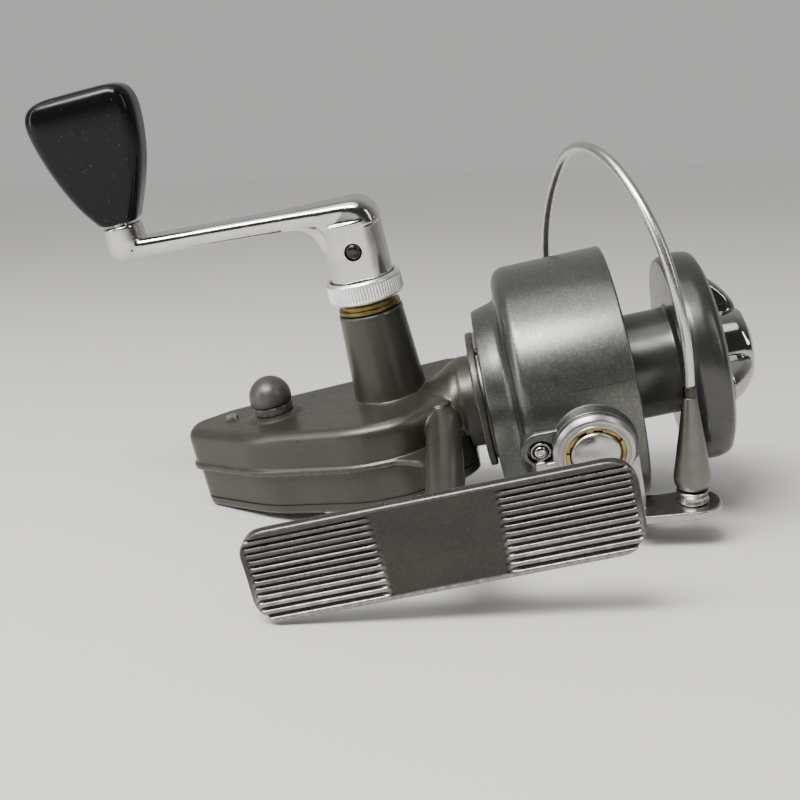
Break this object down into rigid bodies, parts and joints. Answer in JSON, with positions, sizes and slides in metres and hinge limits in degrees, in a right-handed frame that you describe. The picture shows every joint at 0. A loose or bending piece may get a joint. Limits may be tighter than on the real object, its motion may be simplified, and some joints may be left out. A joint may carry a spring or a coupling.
{
  "type": "spinning reel",
  "caption": "Spinning reel with folding crank handle, gear case on a ribbed foot, turning rotor with a flip-over wire bail, sliding spool and front drag knob.",
  "frame": {"origin": "centre of the foot's rod-side seat face, in the plane of its two edge lands", "axes": "+X forward along the spool axis and the rod, +Y from the rod seat towards the reel, +Z out along the handle shaft"},
  "size_m": [0.1304, 0.0915, 0.1033],
  "materials": {
    "olive_lacquer": "satin lacquer over cast aluminium, slightly worn",
    "rotor_lacquer": "satin metallic lacquer with fine sparkle over cast aluminium",
    "spool_lacquer": "satin metallic lacquer over aluminium, polished arbor",
    "dark_button": "satin",
    "chrome": "bright plated, fine scratches",
    "knurled_aluminium": "bright, straight knurl",
    "brass": "aged",
    "blued_steel": "blackened",
    "satin_steel": "satin, slightly worn",
    "gloss_black": "high gloss",
    "bare_steel": "machined",
    "cast_zinc": "as cast zinc",
    "felt": "oiled felt"
  },
  "bodies": {
    "frame": {"main_housing": "olive_lacquer", "side_cover": "olive_lacquer", "cover_screws": "bare_steel", "bearing_outer_race": "bare_steel", "bearing_balls": "bare_steel", "bearing_plate": "bare_steel", "bearing_plate_screws": "bare_steel", "trip_ramp": "bare_steel", "tower_bush": "brass", "cover_bush": "brass", "rear_shaft_bush": "brass", "guide_rod": "bare_steel", "oscillation_post": "bare_steel", "pawl_pin": "bare_steel", "indicator_peg": "dark_button", "tower_washer": "brass"},
    "drive": {"drive_gear": "brass", "drive_shaft": "bare_steel", "ratchet_wheel": "bare_steel", "crank_pin": "blued_steel"},
    "lock_ring": {"lock_ring": "knurled_aluminium"},
    "crank": {"crank_arm": "chrome"},
    "knob": {"handle_knob": "gloss_black"},
    "rotor": {"rotor_cup": "rotor_lacquer", "pinion": "bare_steel", "rotor_nut": "bare_steel", "bearing_inner_race": "bare_steel", "near_pivot_screw": "chrome", "far_pivot_screw": "chrome", "spring_anchor_screw": "chrome", "bail_spring": "bare_steel"},
    "bail": {"bail_pivot_bush": "brass", "bail_arm": "chrome", "line_guide_cone": "satin_steel", "guide_sleeve": "blued_steel", "roller_screw": "blued_steel", "bail_wire": "satin_steel"},
    "roller": {"line_roller": "satin_steel"},
    "trip": {"trip_pin": "bare_steel"},
    "spool_shaft": {"main_shaft": "bare_steel", "crosswind_block": "cast_zinc", "spool_cross_pin": "bare_steel", "spool_seat_washer": "bare_steel"},
    "spool": {"spool": "spool_lacquer", "drag_friction_washers": "felt", "drag_metal_washers": "bare_steel", "drag_retainer": "bare_steel"},
    "drag_knob": {"drag_knob": "chrome", "drag_cap": "chrome", "drag_spring": "bare_steel", "drag_nut": "bare_steel"},
    "oscillation": {"oscillation_gear": "brass"},
    "anti_reverse": {"anti_reverse_knob": "dark_button"},
    "pawl": {"anti_reverse_pawl": "bare_steel"}
  },
  "joints": [
    {"name": "drive_spin", "type": "hinge", "parent": "frame", "child": "drive", "pos_m": [-0.0093, 0.0653, 0], "axis": [0, 0, 1], "continuous": true},
    {"name": "lock_ring_turn", "type": "hinge", "parent": "drive", "child": "lock_ring", "pos_m": [-0.0093, 0.0653, 0.028], "axis": [0, 0, 1], "range_deg": [-30, 180]},
    {"name": "crank_fold", "type": "hinge", "parent": "drive", "child": "crank", "pos_m": [-0.0093, 0.0653, 0.0362], "axis": [0, -1, 0], "range_deg": [0, 16]},
    {"name": "knob_spin", "type": "hinge", "parent": "crank", "child": "knob", "pos_m": [-0.054, 0.0653, 0.06], "axis": [0, 0, 1], "continuous": true},
    {"name": "rotor_spin", "type": "hinge", "parent": "frame", "child": "rotor", "pos_m": [0.0283, 0.0617, 0], "axis": [1, 0, 0], "continuous": true},
    {"name": "bail_flip", "type": "hinge", "parent": "rotor", "child": "bail", "pos_m": [0.0283, 0.0617, 0], "axis": [0, 0.9848, 0.1736], "range_deg": [0, 105], "stiffness_Nm_per_rad": 0.004, "springref_deg": -57.3},
    {"name": "line_roller_spin", "type": "hinge", "parent": "bail", "child": "roller", "pos_m": [0.045, 0.0371, -0.0172], "axis": [0.1056, -0.0336, 0.9938], "continuous": true},
    {"name": "trip_pin_slide", "type": "slide", "parent": "rotor", "child": "trip", "axis": [1, 0, 0], "range_m": [0, 0.0015], "stiffness_N_per_m": 60, "springref_m": -0.002},
    {"name": "spool_oscillation", "type": "slide", "parent": "frame", "child": "spool_shaft", "axis": [1, 0, 0], "range_m": [-0.004, 0.004]},
    {"name": "spool_drag_slip", "type": "hinge", "parent": "spool_shaft", "child": "spool", "pos_m": [0.0383, 0.0617, 0], "axis": [1, 0, 0], "continuous": true},
    {"name": "drag_knob_turn", "type": "hinge", "parent": "spool_shaft", "child": "drag_knob", "pos_m": [0.0583, 0.0617, 0], "axis": [1, 0, 0], "range_deg": [-360, 720]},
    {"name": "oscillation_gear_spin", "type": "hinge", "parent": "frame", "child": "oscillation", "pos_m": [-0.0269, 0.0653, -0.006], "axis": [0, 0, 1], "continuous": true},
    {"name": "anti_reverse_turn", "type": "hinge", "parent": "frame", "child": "anti_reverse", "pos_m": [-0.0347, 0.0659, 0.006], "axis": [0, 0, 1], "range_deg": [0, 90]},
    {"name": "pawl_swing", "type": "hinge", "parent": "frame", "child": "pawl", "pos_m": [-0.0242, 0.0679, 0.0026], "axis": [0, 0, 1], "range_deg": [-6.1, 0]}
  ],
  "couplings": [
    {"joint": "rotor_spin", "follows": "drive_spin", "ratio": 3.5},
    {"joint": "oscillation_gear_spin", "follows": "drive_spin", "ratio": -1},
    {"joint": "pawl_swing", "follows": "anti_reverse_turn", "ratio": -0.066667}
  ]
}
